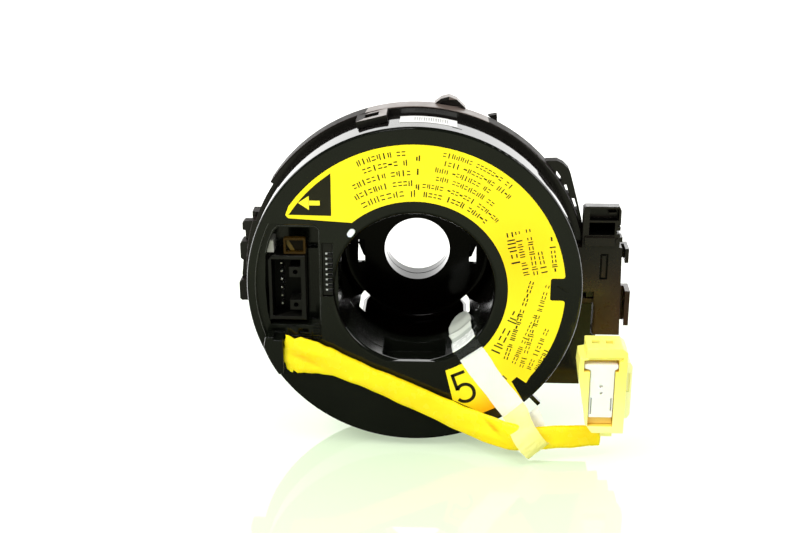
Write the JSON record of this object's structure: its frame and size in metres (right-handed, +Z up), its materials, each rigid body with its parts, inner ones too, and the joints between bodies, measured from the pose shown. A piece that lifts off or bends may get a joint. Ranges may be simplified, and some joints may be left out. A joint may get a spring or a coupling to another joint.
{
  "type": "steering clock spring",
  "caption": "Round steering-column clock spring: a turning rotor with a wheel socket and airbag lead over a fixed case with a column connector.",
  "frame": {"origin": "on the rotor axis, at the rear mounting plane of the stator", "axes": "+Y along the rotor axis towards the steering column, the face looks along -Y, +Z up, +X towards the column connector"},
  "size_m": [0.1268, 0.0605, 0.1107],
  "materials": {
    "gloss_black": "polished",
    "satin_black": "satin",
    "hub_black": "semi gloss",
    "label_yellow": "satin film",
    "sleeve_yellow": "soft gloss",
    "plug_yellow": "semi gloss",
    "lock_white": "satin",
    "retainer_orange": "satin",
    "amber": "semi gloss",
    "tinned": "bright",
    "contact_brass": "bright",
    "ferrite": "matt",
    "tape_white": "paper tape",
    "tape_yellow": "paper tape",
    "tape_clear": "clear film",
    "tongue_grey": "glossy film",
    "mark_pale": "satin",
    "cable_film": "film over copper",
    "slide_white": "slippery"
  },
  "bodies": {
    "stator": {"stator_case": "gloss_black", "stator_back_plate": "gloss_black", "column_plug_housing": "satin_black", "column_terminals": "tinned", "stator_lead_block": "satin_black", "flat_cable": "cable_film", "front_slide_sheet": "slide_white", "rear_slide_sheet": "slide_white", "side_sticker": "tape_white"},
    "rotor": {"rotor_cover": "gloss_black", "hub_sleeve": "hub_black", "cancel_cam": "hub_black", "rotor_socket_housing": "satin_black", "rotor_socket_pins": "tinned", "rotor_lead_block": "satin_black", "rotor_bus_bars": "tinned", "amber_frame": "amber", "align_mark": "mark_pale", "yellow_label": "label_yellow", "tape_strip": "tape_white", "tape_film": "tape_clear", "tape_tongue": "tongue_grey", "tape_wrap": "tape_yellow", "lead_sleeve": "sleeve_yellow", "plug_body": "plug_yellow", "plug_retainer": "retainer_orange", "plug_contacts": "contact_brass", "plug_ferrite": "ferrite"},
    "lock": {"plug_lock": "lock_white"}
  },
  "joints": [
    {"name": "rotor_turn", "type": "hinge", "parent": "stator", "child": "rotor", "pos_m": [0, 0, 0], "axis": [0, 1, 0], "range_deg": [-900, 900]},
    {"name": "lock_slide", "type": "slide", "parent": "rotor", "child": "lock", "axis": [0, 0, 1], "range_m": [0, 0.0013]}
  ]
}
